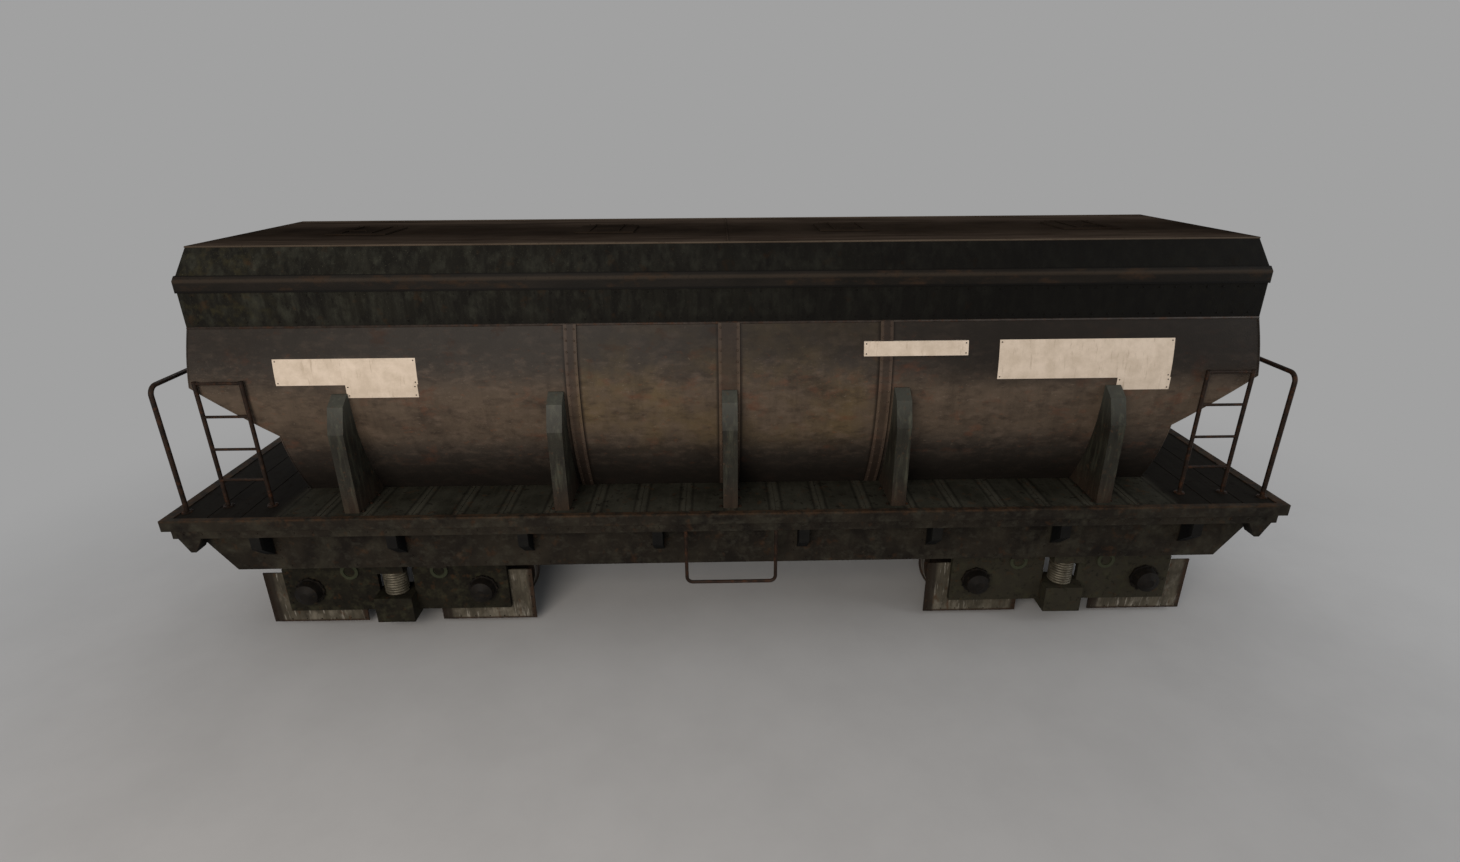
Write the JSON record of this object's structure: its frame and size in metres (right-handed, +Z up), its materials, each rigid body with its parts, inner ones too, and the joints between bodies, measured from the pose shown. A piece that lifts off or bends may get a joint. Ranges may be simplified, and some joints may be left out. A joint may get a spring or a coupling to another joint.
{
  "type": "grain hopper car",
  "caption": "Railway grain hopper car with curved sides, hooded roof with hatches, walkway deck, saddle brackets, end hoops, swivelling bogies and slide gates.",
  "frame": {"origin": "at rail level below the middle of the car, z = 0 at the flange tips", "axes": "+X along the car to its front, +Y across to its left, +Z up"},
  "size_m": [12.19, 3.26, 4.1339],
  "materials": {
    "axle_steel": "oxidised forged steel",
    "wheel_steel": "rolled steel, worn bright at the tread",
    "axle_box_iron": "dark greasy casting",
    "side_frame_steel": "weathered cast steel",
    "spring_steel": "worn spring steel",
    "guard_paint": "pale weathered paint, rusty edges",
    "brake_steel": "rusty steel",
    "underframe_paint": "dark weathered paint",
    "deck_paint": "dark grey-green weathered deck",
    "body_paint": "brown weathered paint with rust",
    "hood_paint": "dark grey-green weathered paint",
    "roof_paint": "dark brown weathered paint",
    "waist_paint": "rusty brown weathered paint",
    "saddle_paint": "grey-green weathered paint with rusty feet",
    "rail_steel": "dark rusty tube",
    "coupler_iron": "rusty casting",
    "hopper_steel": "weathered sheet steel",
    "reservoir_paint": "dark weathered paint"
  },
  "bodies": {
    "car_body": {"air_reservoir": "reservoir_paint", "body_bolsters": "underframe_paint", "body_end_front": "body_paint", "body_end_rear": "body_paint", "body_side_left": "body_paint", "body_side_right": "body_paint", "centre_sills": "underframe_paint", "couplers": "coupler_iron", "cross_bearers": "underframe_paint", "deck_ends": "deck_paint", "deck_sides": "deck_paint", "end_hoops": "rail_steel", "end_rims": "underframe_paint", "end_sills": "underframe_paint", "funnels": "hopper_steel", "hood_ends": "hood_paint", "hood_sides": "hood_paint", "ladders": "rail_steel", "roof": "roof_paint", "saddles_left": "saddle_paint", "saddles_right": "saddle_paint", "side_rims": "underframe_paint", "side_sills": "underframe_paint", "slope_floor_front": "hopper_steel", "slope_floor_rear": "hopper_steel", "stirrups": "rail_steel", "trough_sides": "hopper_steel", "waist_strips_end": "waist_paint", "waist_strips_side": "waist_paint"},
    "bogie_front": {"side_frames_front": "side_frame_steel", "bogie_bolster_front": "side_frame_steel", "springs_front": "spring_steel", "axle_boxes_front": "axle_box_iron", "wheel_guards_front": "guard_paint", "brake_beams_front": "brake_steel"},
    "bogie_rear": {"side_frames_rear": "side_frame_steel", "bogie_bolster_rear": "side_frame_steel", "springs_rear": "spring_steel", "axle_boxes_rear": "axle_box_iron", "wheel_guards_rear": "guard_paint", "brake_beams_rear": "brake_steel"},
    "wheelset_1": {"axle_1": "axle_steel", "wheels_1": "wheel_steel"},
    "wheelset_2": {"axle_2": "axle_steel", "wheels_2": "wheel_steel"},
    "wheelset_3": {"axle_3": "axle_steel", "wheels_3": "wheel_steel"},
    "wheelset_4": {"axle_4": "axle_steel", "wheels_4": "wheel_steel"},
    "slide_gate_front": {"slide_gate_front": "hopper_steel"},
    "slide_gate_rear": {"slide_gate_rear": "hopper_steel"},
    "hatch_lid_1": {"hatch_lid_1": "roof_paint"},
    "hatch_lid_2": {"hatch_lid_2": "roof_paint"},
    "hatch_lid_3": {"hatch_lid_3": "roof_paint"},
    "hatch_lid_4": {"hatch_lid_4": "roof_paint"}
  },
  "joints": [
    {"name": "bogie_swivel_front", "type": "hinge", "parent": "car_body", "child": "bogie_front", "pos_m": [3.594, 0, 0.918], "axis": [0, 0, 1], "range_deg": [-4, 4]},
    {"name": "bogie_swivel_rear", "type": "hinge", "parent": "car_body", "child": "bogie_rear", "pos_m": [-3.594, 0, 0.918], "axis": [0, 0, 1], "range_deg": [-4, 4]},
    {"name": "wheelset_spin_1", "type": "hinge", "parent": "bogie_front", "child": "wheelset_1", "pos_m": [4.519, 0, 0.503], "axis": [0, 1, 0], "continuous": true},
    {"name": "wheelset_spin_2", "type": "hinge", "parent": "bogie_front", "child": "wheelset_2", "pos_m": [2.669, 0, 0.503], "axis": [0, 1, 0], "continuous": true},
    {"name": "wheelset_spin_3", "type": "hinge", "parent": "bogie_rear", "child": "wheelset_3", "pos_m": [-2.669, 0, 0.503], "axis": [0, 1, 0], "continuous": true},
    {"name": "wheelset_spin_4", "type": "hinge", "parent": "bogie_rear", "child": "wheelset_4", "pos_m": [-4.519, 0, 0.503], "axis": [0, 1, 0], "continuous": true},
    {"name": "gate_slide_front", "type": "slide", "parent": "car_body", "child": "slide_gate_front", "axis": [0, 1, 0], "range_m": [0, 0.8]},
    {"name": "gate_slide_rear", "type": "slide", "parent": "car_body", "child": "slide_gate_rear", "axis": [0, 1, 0], "range_m": [0, 0.8]},
    {"name": "lid_hinge_1", "type": "hinge", "parent": "car_body", "child": "hatch_lid_1", "pos_m": [-3.75, 0.325, 4.122], "axis": [-1, 0, 0], "range_deg": [0, 150]},
    {"name": "lid_hinge_2", "type": "hinge", "parent": "car_body", "child": "hatch_lid_2", "pos_m": [-1.25, 0.325, 4.122], "axis": [-1, 0, 0], "range_deg": [0, 150]},
    {"name": "lid_hinge_3", "type": "hinge", "parent": "car_body", "child": "hatch_lid_3", "pos_m": [1.25, 0.325, 4.122], "axis": [-1, 0, 0], "range_deg": [0, 150]},
    {"name": "lid_hinge_4", "type": "hinge", "parent": "car_body", "child": "hatch_lid_4", "pos_m": [3.75, 0.325, 4.122], "axis": [-1, 0, 0], "range_deg": [0, 150]}
  ]
}
